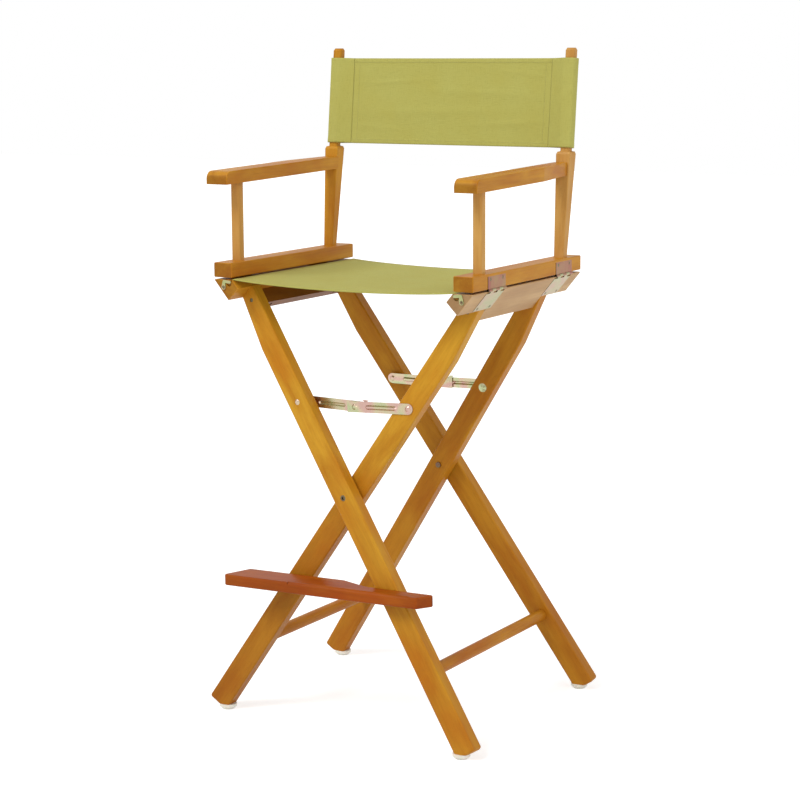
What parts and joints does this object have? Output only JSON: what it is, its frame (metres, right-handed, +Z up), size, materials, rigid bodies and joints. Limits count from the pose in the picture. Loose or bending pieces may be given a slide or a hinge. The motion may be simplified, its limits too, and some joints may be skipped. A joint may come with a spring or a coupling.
{
  "type": "directors chair",
  "caption": "Tall folding directors chair: crossed wooden legs, lock braces, hinged arms, canvas seat and back, and an offset footrest plank.",
  "frame": {"origin": "middle of the floor under the chair, on the level of the glides' soles", "axes": "+X to the sitter's left as seen from the front right, -Y the front with the footrest, +Z up"},
  "size_m": [0.5512, 0.4778, 1.156],
  "materials": {
    "frame_wood": "satin lacquer",
    "arm_wood": "satin lacquer",
    "footrest_wood": "satin lacquer",
    "olive_canvas": "woven",
    "zinc_steel": "zinc plated",
    "white_glide": "smooth"
  },
  "bodies": {
    "outer_frame": {"outer_front_leg": "frame_wood", "outer_rear_leg": "frame_wood", "left_seat_rail": "frame_wood", "left_apron": "frame_wood", "right_stretcher": "frame_wood", "right_glides": "white_glide", "footrest": "footrest_wood", "footrest_screws": "zinc_steel", "pivot_bolts": "zinc_steel", "pivot_nuts": "zinc_steel", "pivot_spacers": "zinc_steel", "left_rail_bolts": "zinc_steel", "left_lower_hinge_leaves": "zinc_steel", "left_hinge_pins": "zinc_steel", "left_lower_leaf_screws": "zinc_steel", "left_apron_screws": "zinc_steel", "left_seat_dowel": "frame_wood", "left_clip_screws": "zinc_steel", "outer_brace_pins": "zinc_steel", "seat_sling": "olive_canvas"},
    "inner_frame": {"inner_front_leg": "frame_wood", "inner_rear_leg": "frame_wood", "right_seat_rail": "frame_wood", "right_apron": "frame_wood", "left_stretcher": "frame_wood", "left_glides": "white_glide", "footrest_peg": "frame_wood", "right_rail_bolts": "zinc_steel", "right_lower_hinge_leaves": "zinc_steel", "right_hinge_pins": "zinc_steel", "right_lower_leaf_screws": "zinc_steel", "right_apron_screws": "zinc_steel", "right_seat_dowel": "frame_wood", "right_clip_screws": "zinc_steel", "inner_brace_pins": "zinc_steel"},
    "left_arm": {"left_arm_rail": "arm_wood", "left_front_post": "arm_wood", "left_back_post": "arm_wood", "left_armrest": "arm_wood", "left_upper_hinge_leaves": "zinc_steel", "left_upper_leaf_screws": "zinc_steel", "left_armrest_screw": "zinc_steel", "back_sling": "olive_canvas"},
    "right_arm": {"right_arm_rail": "arm_wood", "right_front_post": "arm_wood", "right_back_post": "arm_wood", "right_armrest": "arm_wood", "right_upper_hinge_leaves": "zinc_steel", "right_upper_leaf_screws": "zinc_steel", "right_armrest_screw": "zinc_steel"},
    "front_left_link": {"front_left_brace_link": "zinc_steel", "front_brace_rivet": "zinc_steel"},
    "rear_left_link": {"rear_left_brace_link": "zinc_steel", "rear_brace_rivet": "zinc_steel"},
    "front_right_link": {"front_right_brace_link": "zinc_steel"},
    "rear_right_link": {"rear_right_brace_link": "zinc_steel"},
    "front_left_clip": {"front_left_seat_clip": "zinc_steel"},
    "rear_left_clip": {"rear_left_seat_clip": "zinc_steel"},
    "front_right_clip": {"front_right_seat_clip": "zinc_steel"},
    "rear_right_clip": {"rear_right_seat_clip": "zinc_steel"}
  },
  "joints": [
    {"name": "fold", "type": "hinge", "parent": "outer_frame", "child": "inner_frame", "pos_m": [0, 0.00111, 0.407], "axis": [0, -1, 0], "range_deg": [0, 50], "deforming": ["seat_sling", "back_sling"]},
    {"name": "left_arm_hinge", "type": "hinge", "parent": "outer_frame", "child": "left_arm", "pos_m": [-0.25358, 0.00111, 0.7688], "axis": [0, -1, 0], "range_deg": [0, 25]},
    {"name": "right_arm_hinge", "type": "hinge", "parent": "inner_frame", "child": "right_arm", "pos_m": [0.25358, 0.00111, 0.7688], "axis": [0, 1, 0], "range_deg": [0, 25]},
    {"name": "front_left_link_pivot", "type": "hinge", "parent": "outer_frame", "child": "front_left_link", "pos_m": [-0.09923, -0.14128, 0.55864], "axis": [-0.0496, -0.9959, 0.0758], "range_deg": [0, 105.9]},
    {"name": "front_right_link_pivot", "type": "hinge", "parent": "inner_frame", "child": "front_right_link", "pos_m": [0.10098, -0.14581, 0.56131], "axis": [-0.0496, 0.9959, -0.0758], "range_deg": [0, 96.6]},
    {"name": "rear_left_link_pivot", "type": "hinge", "parent": "outer_frame", "child": "rear_left_link", "pos_m": [-0.09923, 0.1435, 0.55864], "axis": [0.0496, -0.9959, -0.0758], "range_deg": [0, 105.9]},
    {"name": "rear_right_link_pivot", "type": "hinge", "parent": "inner_frame", "child": "rear_right_link", "pos_m": [0.10098, 0.14803, 0.56131], "axis": [0.0496, 0.9959, 0.0758], "range_deg": [0, 96.6]},
    {"name": "front_left_clip_swivel", "type": "hinge", "parent": "outer_frame", "child": "front_left_clip", "pos_m": [-0.23298, -0.19709, 0.754], "axis": [0, -1, 0], "range_deg": [0, 80]},
    {"name": "front_right_clip_swivel", "type": "hinge", "parent": "inner_frame", "child": "front_right_clip", "pos_m": [0.23298, -0.19709, 0.754], "axis": [0, 1, 0], "range_deg": [0, 80]},
    {"name": "rear_left_clip_swivel", "type": "hinge", "parent": "outer_frame", "child": "rear_left_clip", "pos_m": [-0.23298, 0.19931, 0.754], "axis": [0, -1, 0], "range_deg": [0, 80]},
    {"name": "rear_right_clip_swivel", "type": "hinge", "parent": "inner_frame", "child": "rear_right_clip", "pos_m": [0.23298, 0.19931, 0.754], "axis": [0, 1, 0], "range_deg": [0, 80]}
  ],
  "couplings": [
    {"joint": "left_arm_hinge", "follows": "fold", "ratio": 0.5},
    {"joint": "right_arm_hinge", "follows": "fold", "ratio": 0.5},
    {"joint": "front_left_link_pivot", "follows": "fold", "ratio": 2.1171},
    {"joint": "front_right_link_pivot", "follows": "fold", "ratio": 1.9305},
    {"joint": "rear_left_link_pivot", "follows": "fold", "ratio": 2.1171},
    {"joint": "rear_right_link_pivot", "follows": "fold", "ratio": 1.9305}
  ]
}
